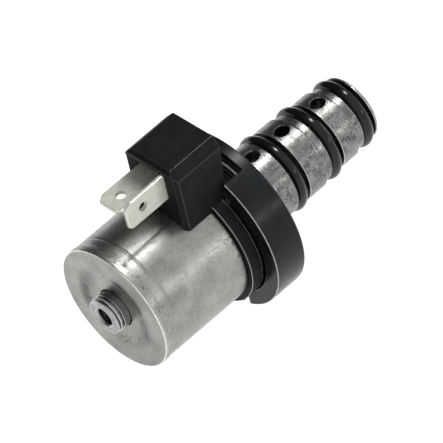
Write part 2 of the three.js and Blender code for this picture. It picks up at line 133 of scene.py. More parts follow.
SLEEVE = Sizes(bore=3.6, head_rear=-3.1, lead=31.7, lead_drop=0.55)
STEP_A = 8.15
STEP_B = 7.6
STEP_C = 7.0
STEP_DIP = 0.25
STEP_AB = (16.5, 16.56, 17.1, 17.16)
STEP_BC = (25.95, 26.0, 26.55, 26.6)
RING_A = Sizes(front=8.71, rear=12.01, bottom=6.17)
RING_B = Sizes(front=18.62, rear=21.92, bottom=5.93)
RING_C = Sizes(front=28.1, rear=31.4, bottom=5.15)
HEAD_GROOVE = Sizes(front=-6.75, rear=-5.65, bottom=8.18)
UNDERCUT = Sizes(radius=4.5, spans=((20.7, 25.7), (12, 17.5), (4.5, 9.3)))
PLUG_BORE = Sizes(radius=4.1, front=29.6, clip_radius=4.4, clip_front=30.95, clip_rear=31.55)
PORT_RADIUS = 1.5
PORTS = ((6.05, STEP_A), (14.35, STEP_A), (24.1, STEP_B))
COUNTERSINK = Sizes(low=1.4, high=1.95, depth=0.35, above=0.2)
O_RING_OUTERS = {"o_ring_1": 8.72, "o_ring_2": 8.38, "o_ring_3": 7.7}

PLUG_HOLE = 0.9
CLIP = Sizes(inner=3.3, half_gap=0.8)
SPOOL_NECK = Sizes(radius=2.1, front=8.4, rear=19.6)
SPOOL_POCKET = Sizes(radius=2.5, bottom=22)
BALANCE = Sizes(half=0.15, depth=0.2, front=(1.5, 3, 6), rear=(21.5, 24.5))

# A spring's end coils are nearly flat: they take CLOSED_TURNS at each end, and only
# CLOSED_SHARE of the spring's length is spread evenly over every turn.
CLOSED_TURNS = 0.8
CLOSED_SHARE = 0.1

# ---- studio ----------------------------------------------------------------------------
FLOOR_HALF = 4000
FLOOR_GAP = 0.0001
FLOOR_GLOW = 0.97
LAMP_DISTANCE = 1.0
WORLD_LIGHT = 1.0
WORLD_DARK = 0.1
WORLD_FADE = (-0.5, 0.55)

# The camera's own axes in the valve's frame, and what its middle points at.
VIEW_RIGHT = Vector((0.69266, -0.70114, -0.16916))
VIEW_UP = Vector((0.59087, 0.41712, 0.69057))
VIEW_BACK = Vector((-0.41362, -0.57828, 0.70321))
VIEW_MIDDLE = Vector((-4.8, 0, 0)) + 0.438 * VIEW_RIGHT - 0.400 * VIEW_UP
VIEW_DISTANCE = 2.0
LENS = 852.5
SENSOR = 36
CLIP_START = 0.1
CLIP_END = 20

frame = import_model()
nodes = frame["nodes"]
cad_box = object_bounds()


# ---- measures read from the frame ------------------------------------------------------
def span(node):
    """A CAD node's front and rear along the valve and its greatest reach in Y, in millimetres."""
    low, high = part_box(node)
    return low.x / MM, high.x / MM, high.y / MM


# ---- meshes ----------------------------------------------------------------------------
def mesh_object(name, points, faces):
    """A mesh with one material slot for its faces and one for its edges, where most finishes paint a
    highlight.
    """
    mesh = bpy.data.meshes.new(name)
    mesh.from_pydata([Vector(p) * MM for p in points], [], faces)
    mesh.materials.append(None)
    mesh.materials.append(None)
    mesh.update()
    piece = bpy.data.objects.new(name, mesh)
    bpy.context.scene.collection.objects.link(piece)
    return piece


def bake(piece):
    """Applies the piece's modifiers to its mesh."""
    graph = bpy.context.evaluated_depsgraph_get()
    mesh = bpy.data.meshes.new_from_object(piece.evaluated_get(graph))
    piece.modifiers.clear()
    piece.data = mesh


def rounded(corners, closed=True):
    """A polygon of [x, y, radius] corners with each corner turned into an arc.

    Returns the points, and for each point whether the arc of a small edge runs on from it.
    """
    points, arcs = [], []
    last = len(corners) - 1
    for i, corner in enumerate(corners):
        here = Vector(corner[:2])
        radius = corner[2]
        back = Vector(corners[i - 1][:2]) - here
        ahead = Vector(corners[(i + 1) % (last + 1)][:2]) - here
        if radius == 0 or (not closed and i in (0, last)):
            points.append(here)
            arcs.append(False)
            continue
        limit = 0.48 * min(back.length, ahead.length)
        back.normalize()
        ahead.normalize()
        half = back.angle(ahead) / 2
        turn = math.pi - 2 * half
        reach = min(radius / math.tan(half), limit)
        radius = reach * math.tan(half)
        centre = here + (back + ahead).normalized() * (radius / math.sin(half))
        start = here + back * reach - centre
        end = here + ahead * reach - centre
        for k in range(ARC_STEPS + 1):
            f = k / ARC_STEPS
            arm = start * math.sin((1 - f) * turn) + end * math.sin(f * turn)
            points.append(centre + arm / math.sin(turn))
            arcs.append(k < ARC_STEPS and radius <= EDGE_RADIUS)
    return points, arcs


def lathe(name, corners, steps=LATHE_STEPS):
    """Revolves a profile of [x, distance from the axis, rounding] corners about the axis."""
    on_axis = corners[0][1] == 0
    profile, arcs = rounded(corners, closed=not on_axis)
    points, rows = [], []
    for x, r in profile:
        if r == 0:
            rows.append([len(points)] * steps)
            points.append((x, 0, 0))
            continue
        rows.append(list(range(len(points), len(points) + steps)))
        for j in range(steps):
            turn = 2 * math.pi * j / steps
            points.append((x, r * math.cos(turn), r * math.sin(turn)))
    faces, edges = [], []
    count = len(rows)
    for i in range(count - 1 if on_axis else count):
        a, b = rows[i], rows[(i + 1) % count]
        for j in range(steps):
            k = (j + 1) % steps
            ring = [a[j], a[k], b[k], b[j]]
            face = [v for n, v in enumerate(ring) if v not in ring[:n]]
            if len(face) > 2:
                faces.append(face)
                edges.append(EDGE if arcs[i] else 0)
    piece = mesh_object(name, points, faces)
    piece.data.polygons.foreach_set("material_index", edges)
    return outward(piece)


def outward(piece):
    """Turns every face outwards."""
    work = bmesh.new()
    work.from_mesh(piece.data)
    bmesh.ops.recalc_face_normals(work, faces=work.faces)
    work.to_mesh(piece.data)
    work.free()
    return piece


def skin(name, low, high):
    """A solid between two loops with the same number of points."""
    count = len(low)
    faces = [list(range(count)), list(range(count, 2 * count))]
    for i in range(count):
        k = (i + 1) % count
        faces.append([i, k, count + k, count + i])
    return outward(mesh_object(name, low + high, faces))


def prism(name, outline, start, end, place):
    """Extrudes an outline. place(u, v, w) says where its point u, v at height w lies."""
    low = [place(u, v, start) for u, v in outline]
    high = [place(u, v, end) for u, v in outline]
    return skin(name, low, high)


def across(u, v, w):
    return (w, u, v)


def sideways(u, v, w):
    return (u, w, v)


def upright(u, v, w):
    return (u, v, w)


def box(x0, x1, y0, y1, z0, z1):
    return prism("tool", [(x0, y0), (x1, y0), (x1, y1), (x0, y1)], z0, z1, upright)


def circle(u, v, radius, steps=CIRCLE_STEPS):
    turns = [2 * math.pi * i / steps for i in range(steps)]
    return [(u + radius * math.cos(t), v + radius * math.sin(t)) for t in turns]


def cylinder(radius, front, rear):
    """A cutting tool on the valve's axis."""
    return prism("tool", circle(0, 0, radius, LATHE_STEPS), front, rear, across)


def groove(front, rear, land, bottom, edge, root):
    """The four corners of a square groove in a lathe's profile, with their roundings."""
    return [(front, land, edge), (front, bottom, root), (rear, bottom, root), (rear, land, edge)]


def combine(piece, operation, *tools):
    for tool in tools:
        change = piece.modifiers.new("change", "BOOLEAN")
        change.object = tool
        change.operation = operation
        change.solver = "EXACT"
        bake(piece)
        bpy.data.objects.remove(tool)


def bevel(piece, width, segments):
    change = piece.modifiers.new("edges", "BEVEL")
    change.width = width * MM
    change.segments = segments
    change.limit_method = "ANGLE"
    change.angle_limit = BEVEL_ANGLE
    change.use_clamp_overlap = True
    change.material = EDGE
    bake(piece)


def smooth(piece):
    piece.data.shade_smooth()
    piece.data.set_sharp_from_angle(angle=SMOOTH_ANGLE)
    change = piece.modifiers.new("normals", "WEIGHTED_NORMAL")
    change.keep_sharp = True
    bake(piece)


def present(piece, body, slot, *stands_for):
    """Finishes a piece: smooth shading, its finish, its body and the CAD nodes it stands for."""
    smooth(piece)
    piece.data.materials[0] = LOOKS[slot]
    # The edge slot takes the finish's painted edge highlight, where it has one.
    piece.data.materials[EDGE] = EDGE_HIGHLIGHTS.get(slot, LOOKS[slot])
    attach(piece, body)
    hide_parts(*stands_for)


def torus(name, x, ring_radius, section):
    """A ring about the valve's axis, where section is the radius of its own round."""
    corners = []
    for i in range(TORUS_SIDES):
        turn = 2 * math.pi * i / TORUS_SIDES
        corners.append((x + section * math.cos(turn), ring_radius + section * math.sin(turn), 0))
    return lathe(name, corners)


def coil_spring(name, front, rear, radius, wire, turns):
    """A compression spring with its end coils closed."""
    steps, sides = turns * STEPS_PER_TURN, WIRE_SIDES
    length = rear - front - 2 * wire
    points, faces = [], []
    for i in range(steps + 1):
        t = i / steps
        turn = 2 * math.pi * turns * t
        opened = (turns * t - CLOSED_TURNS) / (turns - 2 * CLOSED_TURNS)
        eased = min(max(opened, 0), 1)
        x = front + wire + length * ((1 - CLOSED_SHARE) * eased + CLOSED_SHARE * t)
        out = Vector((0, math.cos(turn), math.sin(turn)))
        centre = Vector((x, 0, 0)) + out * radius
        for k in range(sides):
            a = 2 * math.pi * k / sides
            points.append(centre + out * wire * math.cos(a) + Vector((wire * math.sin(a), 0, 0)))
    for i in range(steps):
        for k in range(sides):
            a, b = i * sides + k, i * sides + (k + 1) % sides
            faces.append([a, b, b + sides, a + sides])
    faces.append(list(range(sides)))
    faces.append([steps * sides + k for k in range(sides)])
    return outward(mesh_object(name, points, faces))


# ---- materials -------------------------------------------------------------------------
class Finish:
    """A procedural material whose textures are laid out in millimetres on the object."""

    def __init__(self, name, metallic=0.0):
        self.material = bpy.data.materials.new(name)
        self.material.use_nodes = True
        self.tree = self.material.node_tree
        self.shader = self.tree.nodes["Principled BSDF"]
        self.place = self.tree.nodes.new("ShaderNodeTexCoord").outputs["Object"]
        self.set("Metallic", metallic)

    def give(self, socket, value):
        """Links an output to a socket, or sets the socket to a plain value."""
        if isinstance(value, bpy.types.NodeSocket):
            self.tree.links.new(value, socket)
        else:
            socket.default_value = value

    def set(self, socket, value):
        self.give(self.shader.inputs[socket], value)
        return self

    def noise(self, per_mm, detail=3.0, stretch=(1, 1, 1), shift=0.0):
        mapping = self.tree.nodes.new("ShaderNodeMapping")
        mapping.inputs["Location"].default_value = (shift, shift * 0.7, shift * 1.3)
        mapping.inputs["Scale"].default_value = [per_mm * s / MM for s in stretch]
        self.give(mapping.inputs["Vector"], self.place)
        texture = self.tree.nodes.new("ShaderNodeTexNoise")
        texture.inputs["Scale"].default_value = 1
        texture.inputs["Detail"].default_value = detail
        self.give(texture.inputs["Vector"], mapping.outputs["Vector"])
        return texture.outputs["Fac"]

    def millimetres(self):
        """The object's own X, Y and Z in millimetres."""
        mapping = self.tree.nodes.new("ShaderNodeMapping")
        mapping.inputs["Scale"].default_value = [1 / MM] * 3
        self.give(mapping.inputs["Vector"], self.place)
        parts = self.tree.nodes.new("ShaderNodeSeparateXYZ")
        self.give(parts.inputs[0], mapping.outputs["Vector"])
        return parts.outputs

    def along_and_out(self):
        """The distance along the valve and out from its axis, in millimetres."""
        x, y, z = self.millimetres()
        square = self.math("ADD", self.math("MULTIPLY", y, y), self.math("MULTIPLY", z, z))
        return x, self.math("SQRT", square, 0)

    def remap(self, value, low, high, to_low=0, to_high=1):
        """Stretches the range from low to high over the range from to_low to to_high."""
        node = self.tree.nodes.new("ShaderNodeMapRange")
        for socket, given in zip(node.inputs[:5], (value, low, high, to_low, to_high)):
            self.give(socket, given)
        return node.outputs[0]

    def spread(self, noise, to_low=0, to_high=1):
        """Stretches the middle of a noise over the range from to_low to to_high."""
        return self.remap(noise, 0.3, 0.7, to_low, to_high)

    def math(self, operation, a, b):
        node = self.tree.nodes.new("ShaderNodeMath")
        node.operation = operation
        self.give(node.inputs[0], a)
        self.give(node.inputs[1], b)
        return node.outputs[0]

    def times(self, *values):
        product = values[0]
        for value in values[1:]:
            product = self.math("MULTIPLY", product, value)
        return product

    def blend(self, a, b, share):
        """The sum of two textures, where share is the first one's part of it."""
        return self.math("ADD", self.times(a, share), self.times(b, 1 - share))

    def colour(self, factor, dark, light):
        mix = self.tree.nodes.new("ShaderNodeMix")
        mix.data_type = "RGBA"
        mix.inputs["A"].default_value = (*dark, 1)
        mix.inputs["B"].default_value = (*light, 1)
        self.give(mix.inputs["Factor"], factor)
        return self.set("Base Color", mix.outputs["Result"])

    def bump(self, height, strength, depth_mm):
        node = self.tree.nodes.new("ShaderNodeBump")
        node.inputs["Strength"].default_value = strength
        node.inputs["Distance"].default_value = depth_mm * MM
        self.give(node.inputs["Height"], height)
        return self.set("Normal", node.outputs["Normal"])


def dish_darkening(f, x, radius, can_front):
    """Where the can's face is made darker: round the dish in its front face."""
    face = f.remap(x, can_front + 0.55, can_front + 0.35)
    return f.times(f.remap(radius, 10.2, 8.4), f.remap(radius, 5.4, 7.4), face)


def zinc_plated_steel():
    """Dull plating: mottled, pitted near both ends, and darker round the dish, most on its two
    sides.
    """
    f = Finish("zinc_plated_steel", 1)
    can_front, can_rear, _ = span("coil_can")
    speckle = f.noise(2.6, stretch=(0.6, 1, 1))
    light = f.remap(f.blend(f.noise(0.22, 4, shift=3), speckle, 0.6), 0.36, 0.64, 0.2, 0.98)
    x, radius = f.along_and_out()
    dish = dish_darkening(f, x, radius, can_front)
    aside = f.math("ABSOLUTE", f.millimetres()["Y"], 0)
    patches = f.remap(f.noise(0.3, shift=8), 0.35, 0.65, 0.5, 1.2)
    # Darker round the dish, most on its two sides, in patches.
    dish_darkness = f.times(dish, f.remap(aside, 3, 8, 0.15, 1.0), patches)
    rim_start = f.remap(x, can_front + 0.55, can_front + 0.85)
    rim = f.times(f.remap(x, can_front + 3.25, can_front + 2.05, 0, 0.7), rim_start)
    rear_end = f.remap(x, can_rear - 2.85, can_rear - 0.35)
    ends = f.math("MAXIMUM", rear_end, f.math("MAXIMUM", rim, dish))
    pits = f.times(f.remap(f.noise(1.7, 2, shift=21), 0.60, 0.68), ends)
    light = f.math("SUBTRACT", light, f.math("MAXIMUM", dish_darkness, f.times(pits, 1.5)))
    f.colour(f.remap(light, -1, 1), (0.02, 0.02, 0.019), (0.335, 0.331, 0.316))
    f.set("Roughness", f.spread(f.noise(1.6, shift=7), 0.28, 0.44))
    return f.bump(speckle, 0.3, 0.02).material


def machined_steel():
    """Turned steel, with painted shade near the axis behind the face of the nose, where its bore is.
    """
    f = Finish("machined_steel", 1)
    nose_front, _, _ = span("nose_plug")
    turning = f.noise(5, 2, stretch=(1, 0.15, 0.15))
    x, radius = f.along_and_out()
    # Painted shade in the nose's bore, near the axis behind its face.
    bore = f.times(f.remap(radius, 1.95, 1.8), f.remap(x, nose_front + 0.2, nose_front + 0.5))
    light = f.math("SUBTRACT", f.spread(turning, 0.55, 1), f.times(bore, 0.85))
    f.colour(f.math("MAXIMUM", light, 0.0), (0.01, 0.01, 0.01), (0.36, 0.36, 0.35))
    f.set("Roughness", f.spread(f.noise(1.5), 0.24, 0.4))
    return f.bump(turning, 0.2, 0.02).material


def sleeve_steel():
    f = Finish("sleeve_steel", 1)
    speckle = f.noise(2.8, shift=2)
    both = f.blend(f.noise(0.5, 4, shift=5), speckle, 0.5)
    f.colour(f.remap(both, 0.36, 0.64), (0.055, 0.055, 0.053), (0.27, 0.27, 0.26))
    f.set("Roughness", f.spread(f.noise(1.2, shift=9), 0.24, 0.42))
    return f.bump(speckle, 0.2, 0.02).material


def bright_steel():
    f = Finish("bright_steel", 1).set("Base Color", (0.62, 0.615, 0.60, 1))
    return f.set("Roughness", f.spread(f.noise(2), 0.16, 0.28)).material


def tinned_blade():
    f = Finish("tinned_blade", 0.12)
    grain = f.noise(1.4, 4, stretch=(0.5, 1, 1))
    f.colour(f.spread(grain), (0.44, 0.438, 0.375), (0.57, 0.57, 0.50))
    f.set("Roughness", f.spread(grain, 0.34, 0.48))
    return f.bump(f.noise(4, 2), 0.15, 0.02).material


def black_nylon():
    """Dull moulded nylon, with painted light making the wall of the pocket beside the level blade
    paler.
    """
    f = Finish("black_nylon").set("Roughness", 0.55).set("Specular IOR Level", 0.11)
    x, y, _ = f.millimetres()
    # Painted light on the pocket's inner wall beside the level blade.
    inner_side = f.remap(y, POCKET.left - 0.15, POCKET.left - 0.05)
    outer_side = f.remap(y, POCKET.left + 0.1, POCKET.left + 0.05)
    wall = f.times(inner_side, outer_side, f.remap(x, -14.0, -15.5))
    grain = f.remap(f.noise(0.4), 0.35, 0.65, 0, 0.04)
    f.colour(f.math("MAXIMUM", grain, wall), (0.004, 0.004, 0.004), (0.11, 0.11, 0.105))
    return f.bump(f.noise(3, 2), 0.12, 0.03).material


def flange_black():
    f = Finish("flange_black").set("Specular IOR Level", 0.17)
    clouds = f.remap(f.noise(0.12, 2, shift=4), 0.35, 0.65)
    f.colour(clouds, (0.003, 0.0036, 0.004), (0.006, 0.008, 0.0095))
    f.set("Roughness", f.spread(f.noise(0.5), 0.22, 0.34))
    return f.bump(f.noise(2, 2), 0.05, 0.03).material


def black_rubber():
    f = Finish("black_rubber").set("Base Color", (0.003, 0.003, 0.003, 1))
    f.set("Specular IOR Level", 0.3)
    return f.set("Roughness", f.spread(f.noise(1, 2), 0.12, 0.19)).material


def enamelled_copper():
    f = Finish("enamelled_copper", 1).set("Roughness", 0.3)
    turns = f.noise(4, 1, stretch=(1, 0.02, 0.02))
    f.colour(f.remap(turns, 0.35, 0.65), (0.42, 0.17, 0.07), (0.70, 0.33, 0.15))
    return f.bump(turns, 0.5, 0.08).material


def amber_tape():
    f = Finish("amber_tape").set("Roughness", 0.3)
    return f.colour(f.noise(0.8, 2), (0.46, 0.29, 0.06), (0.54, 0.37, 0.10)).material


def brass_shim():
    f = Finish("brass_shim", 1).set("Base Color", (0.72, 0.55, 0.25, 1))
    return f.set("Roughness", f.spread(f.noise(2), 0.22, 0.38)).material


def white_ptfe():
    f = Finish("white_ptfe").set("Roughness", 0.5)
    return f.colour(f.noise(0.7, 2), (0.76, 0.75, 0.71), (0.82, 0.81, 0.79)).material


LOOKS = {
    make.__name__: make()
    for make in (
        zinc_plated_steel, machined_steel, sleeve_steel, bright_steel, tinned_blade, black_nylon,
        flange_black, black_rubber, enamelled_copper, amber_tape, brass_shim, white_ptfe,
    )
}


def nylon_edge_highlight():
    """The connector's edges with a painted highlight, brighter round its collar."""
    f = Finish("black_nylon_edge_highlight").set("Roughness", 0.3).set("Specular IOR Level", 0.35)
    x, radius = f.along_and_out()
    # Painted highlight on the collar's edges.
    behind = f.remap(x, COLLAR.front - 0.4, COLLAR.front - 0.1)
    collar = f.times(behind, f.remap(radius, COLLAR.outer + 0.4, COLLAR.outer + 0.2))
    return f.colour(collar, (0.014, 0.014, 0.0135), (0.24, 0.24, 0.235)).material


def flange_edge_highlight():
    # Painted highlight: the flange's edges are much lighter than its black faces.
    f = Finish("flange_black_edge_highlight").set("Roughness", 0.25).set("Specular IOR Level", 0.7)
    return f.colour(f.spread(f.noise(1.1, 2)), (0.18, 0.19, 0.2), (0.36, 0.37, 0.38)).material


def steel_edge_highlight(name, dark, light, metallic=1.0):
    """A steel piece's edge with a painted highlight, brighter than its faces."""
    f = Finish(name, metallic).set("Roughness", 0.28)
    return f.colour(f.spread(f.noise(1.3, 2)), dark, light).material


# Painted highlights: each of these finishes has an edge material lighter than its faces.
EDGE_HIGHLIGHTS = {
    "black_nylon": nylon_edge_highlight(),
    "flange_black": flange_edge_highlight(),
    "zinc_plated_steel": steel_edge_highlight("zinc_edge_highlight", (0.5, 0.495, 0.48), (0.7, 0.695, 0.68)),
    "machined_steel": steel_edge_highlight("machined_edge_highlight", (0.6, 0.6, 0.59), (0.8, 0.8, 0.79)),
    "sleeve_steel": steel_edge_highlight("sleeve_edge_highlight", (0.4, 0.4, 0.39), (0.7, 0.7, 0.69)),
    "tinned_blade": steel_edge_highlight("blade_edge_highlight", (0.6, 0.59, 0.55), (0.8, 0.79, 0.75)),
    "bright_steel": steel_edge_highlight("bright_edge_highlight", (0.75, 0.75, 0.74), (0.9, 0.9, 0.89), 0.3),
}


def finish_cad_nodes():
    """Gives every CAD node that stays in view the finish of its slot."""
    for part in frame["record"]["subparts"]:
        slots = nodes[part["node"]].data.materials
        slots.clear()
        slots.append(LOOKS[part["material_slot"]])


# ---- the solenoid ----------------------------------------------------------------------
def coil_can():
    """The drawn can: a dished face, a bead behind its rim, then a fine crease."""
    front, rear, bead = span("coil_can")
    dish = front + DISH.depth
    inside = front + CAN.wall
    shell = lathe("coil_can_finished", [
        (dish, CAN.hole, 0.1),
        (dish, DISH.inner, 1.2),
        (front, DISH.outer, 1.6),
        (front, bead - 0.05, 0.26),
        (front + BEAD.front, bead, 0.3),
        (front + BEAD.rear, bead, 0.5),
        (front + BEAD.fade, CAN.side, 0.5),
        (front + CREASE.front, CAN.side, 0.5),
        (front + CREASE.middle, CAN.side - CREASE.depth, 0.5),
        (front + CREASE.rear, CAN.side, 0.5),
        (rear, CAN.side, 0.12),
        (rear, CAN.inner, 0.12),
        (inside, CAN.inner, 0.4),
        (inside, CAN.hole, 0.1),
    ])
    window = LEAD_WINDOW
    leads = box(window.front, rear + PAST, -window.half, window.half, window.bottom, window.top)
    combine(shell, "DIFFERENCE", leads)
    present(shell, "valve_body", "zinc_plated_steel", "coil_can")


def nose_plug():
    """The nose: a grooved stem, the head behind the can's face, and the override's bore."""
    front, rear, head = span("nose_plug")
    groove_front = front + SNAP_GROOVE.front
    groove_rear = front + SNAP_GROOVE.rear
    plug = lathe("nose_plug_finished", [
        (front, PIN_BORE.mouth + PIN_BORE.bevel, 0.12),
        (front, NOSE.tip, 0.1),
        (front + 0.15, NOSE.lip, 0.08),
        (groove_front, NOSE.lip, 0.06),
        (groove_front, SNAP_GROOVE.radius, 0.05),
        (groove_rear, SNAP_GROOVE.radius, 0.05),
        (groove_rear, NOSE.radius, 0.08),
        (NOSE.head_front, NOSE.radius, 0.1),
        (NOSE.head_front, head, 0.15),
        (rear, head, 0.2),
        (rear, PIN_BORE.guide, 0.05),
        (PIN_BORE.rear, PIN_BORE.guide, 0.05),
        (PIN_BORE.rear, PIN_BORE.radius, 0.05),
        (PIN_BORE.front, PIN_BORE.radius, 0.05),
        (PIN_BORE.front, PIN_BORE.mouth, 0.05),
        (front + PIN_BORE.bevel, PIN_BORE.mouth, 0.1),
    ])
    present(plug, "valve_body", "machined_steel", "nose_plug")


def open_ring(node, inner, outer, inner_edge, outer_edge, half_gap):
    """A flat retaining ring with a gap at the bottom."""
    front, rear, _ = span(node)
    ring = lathe(node + "_finished", [
        (front, inner, inner_edge),
        (front, outer, outer_edge),
        (rear, outer, outer_edge),
        (rear, inner, inner_edge),
    ])
    gap = box(front - PAST, rear + PAST, -half_gap, half_gap, -outer - PAST, 0)
    combine(ring, "DIFFERENCE", gap)
    present(ring, "valve_body", "bright_steel", node)


def override_pin():
    front, rear, body = span("override_pin")
    pin = lathe("override_pin_finished", [
        (front, 0, 0),
        (front, OVERRIDE_PIN.stem, 0.2),
        (OVERRIDE_PIN.front, OVERRIDE_PIN.stem, 0.05),
        (OVERRIDE_PIN.front, body, 0.15),
        (OVERRIDE_GROOVE.front, body, 0.05),
        (OVERRIDE_GROOVE.front, OVERRIDE_GROOVE.radius, 0.1),
        (OVERRIDE_GROOVE.rear, OVERRIDE_GROOVE.radius, 0.1),
        (OVERRIDE_GROOVE.rear, body, 0.05),
        (OVERRIDE_PIN.shoulder, body, 0.1),
        (OVERRIDE_PIN.shoulder, OVERRIDE_PIN.shank, 0.08),
        (rear, OVERRIDE_PIN.shank, 0.15),
        (rear, 0, 0),
    ], SMALL_LATHE_STEPS)
    present(pin, "override_unit", "machined_steel", "override_pin")


# ---- the connector ---------------------------------------------------------------------
def connector_block(front, top):
    """The upright black block: a chamfered top, bevelled front edges and a leaning rear."""
    half, foot, edge = BLOCK.half, BLOCK.foot, BLOCK.edge
    shoulder = half - BLOCK.chamfer
    shoulder_top = top - BLOCK.chamfer
    lean = (BLOCK.rear_top - BLOCK.rear_foot) / (top - foot)
    block = prism("connector_housing_finished", [
        (-half, foot), (half, foot), (half, shoulder_top), (shoulder, top),
        (-shoulder, top), (-half, shoulder_top)], front, BLOCK.rear, across)
    side = prism("tool", [
        (front, foot - PAST), (front, top - edge), (front + edge, top), (BLOCK.rear_top, top),
        (BLOCK.rear_foot - lean * PAST, foot - PAST)], -half - PAST, half + PAST, sideways)
    plan = prism("tool", [
        (front, edge - half), (front + edge, -half), (BLOCK.rear, -half), (BLOCK.rear, half),
        (front + edge, half), (front, half - edge)], foot - 2 * PAST, top + PAST, upright)
    combine(block, "INTERSECT", side, plan)
    pocket = box(front - PAST, front + POCKET.depth, POCKET.right, POCKET.left,
                 POCKET.bottom, POCKET.top)
    combine(block, "DIFFERENCE", pocket)
    bevel(block, BLOCK_BEVEL, EDGE_SEGMENTS)
    return block


def blade_slot(node, front):
    """The opening round a blade, from in front of the block to just behind its root."""
    low, high = (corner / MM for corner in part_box(node))
    gap = BLADE.slot_gap
    return box(front - PAST, high.x + gap, low.y - gap, high.y + gap, low.z - gap, high.z + gap)


def connector_housing():
    """The block, its neck into the can and its collar, with a key in the flange's notch."""
    low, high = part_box("connector_housing")
    front, top = low.x / MM, high.z / MM
    block = connector_block(front, top)
    combine(block, "DIFFERENCE", cylinder(CAN_ROOM, front - PAST, BLOCK.rear + PAST))
    collar = lathe("tool", [
        (COLLAR.front, COLLAR.inner, 0.1),
        (COLLAR.front, COLLAR.outer, 0.12),
        (COLLAR.rear, COLLAR.outer, 0.12),
        (COLLAR.rear, COLLAR.skirt, 0.1),
        (COLLAR.skirt_rear, COLLAR.skirt, 0.15),
        (COLLAR.skirt_rear, COLLAR.inner, 0.1),
    ])
    neck = box(NECK.front, NECK.rear, -NECK.half, NECK.half, NECK.bottom, NECK.top)
    key = box(KEY.front, COLLAR.skirt_rear, -KEY.half, KEY.half, KEY.bottom, KEY.top)
    combine(block, "UNION", neck, collar, key)
    pole_room = cylinder(POLE_ROOM, NECK.front - PAST, COLLAR.skirt_rear + PAST)
    slots = [blade_slot(node, front) for node in ("terminal_blade_a", "terminal_blade_b")]
    combine(block, "DIFFERENCE", pole_room, *slots)
    present(block, "valve_body", "black_nylon", "connector_housing")


def blade(node, hole, level):
    """A flat terminal blade with a chamfered tip. Its detent hole lies that far behind the tip."""
    low, high = (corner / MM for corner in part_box(node))
    middle = (low + high) / 2
    tip, root, half = low.x, high.x, BLADE.half

    def place(u, v, w):
        return (u, middle.y + v, middle.z + w) if level else (u, middle.y + w, middle.z + v)

    outline, _ = rounded([
        (root, -half, 0),
        (tip + BLADE_TIP.low_length, -half, 0.15),
        (tip, BLADE_TIP.low_rise - half, 0.15),
        (tip, half - BLADE_TIP.high_drop, 0.15),
        (tip + BLADE_TIP.high_length, half, 0.2),
        (root, half, 0),
    ])
    strip = prism(node + "_finished", outline, -BLADE.half_thick, BLADE.half_thick, place)
    bevel(strip, BLADE.bevel, EDGE_SEGMENTS - 1)
    drill = prism("tool", circle(tip + hole, 0, BLADE.hole), -PAST, PAST, place)
    combine(strip, "DIFFERENCE", drill)
    present(strip, "valve_body", "tinned_blade", node)


# ---- the flange and the cartridge ------------------------------------------------------
def mounting_flange():
    """The round flange, open at the front round the collar and notched above and below."""
    front, rear, radius = span("mounting_flange")
    flange = lathe("mounting_flange_finished", [
        (FLANGE.disc, FLANGE.bore, 0.1),
        (FLANGE.disc, PLATE_RECESS.radius, 0.1),
        (PLATE_RECESS.front, PLATE_RECESS.radius, 0.1),
        (PLATE_RECESS.front, FLANGE.lip, 0.1),
        (front, FLANGE.lip, 0.12),
        (front, radius, 0.16),
        (rear, radius, 0.5),
        (rear, FACE_GROOVE.outer, 0.15),
        (FACE_GROOVE.bottom, FACE_GROOVE.outer, 0.1),
        (FACE_GROOVE.bottom, FACE_GROOVE.inner, 0.1),
        (rear, FACE_GROOVE.inner, 0.15),
        (rear, FLANGE.bore, 0.15),
    ])
    above = box(front - PAST, FLANGE.disc, -NOTCH.top_half, NOTCH.top_half,
                NOTCH.start, radius + PAST)
    below = box(front - PAST, FLANGE.disc, -NOTCH.bottom_half, NOTCH.bottom_half,
                -radius - PAST, -NOTCH.start)
    combine(flange, "DIFFERENCE", above, below)
    present(flange, "valve_body", "flange_black", "mounting_flange")


def countersink(x, land, side):
    """The cone that breaks a port's edge, above the valve for side 1 and below it for -1."""
    low, high = side * (land - COUNTERSINK.depth), side * (land + COUNTERSINK.above)
    return skin(
        "tool",
        [(u, v, low) for u, v in circle(x, 0, COUNTERSINK.low)],
        [(u, v, high) for u, v in circle(x, 0, COUNTERSINK.high)],
    )


def step(places, before, after):
    """The narrow dip where the sleeve steps down from one land to the next."""
    dip = after - STEP_DIP
    return [(x, radius, 0.06) for x, radius in zip(places, (before, dip, dip, after))]


def sleeve_outside(front, rear, head):
    """The sleeve's outline from its head to its tip, over three lands and their grooves."""
    a, b, c = STEP_A, STEP_B, STEP_C
    return [
        (front, head, 0.2),
        *groove(HEAD_GROOVE.front, HEAD_GROOVE.rear, head, HEAD_GROOVE.bottom, 0.08, 0.1),
        (SLEEVE.head_rear, head, 0.1), (SLEEVE.head_rear, a, 0.1),
        *groove(RING_A.front, RING_A.rear, a, RING_A.bottom, 0.12, 0.15),
        *step(STEP_AB, a, b),
        *groove(RING_B.front, RING_B.rear, b, RING_B.bottom, 0.12, 0.15),
        *step(STEP_BC, b, c),
        (RING_C.front, c, 0.12), (RING_C.front, RING_C.bottom, 0.15),
        (RING_C.rear, RING_C.bottom, 0.15), (RING_C.rear, c, 0.08),
        (SLEEVE.lead, c, 0.1), (rear, c - SLEEVE.lead_drop, 0.15),
    ]


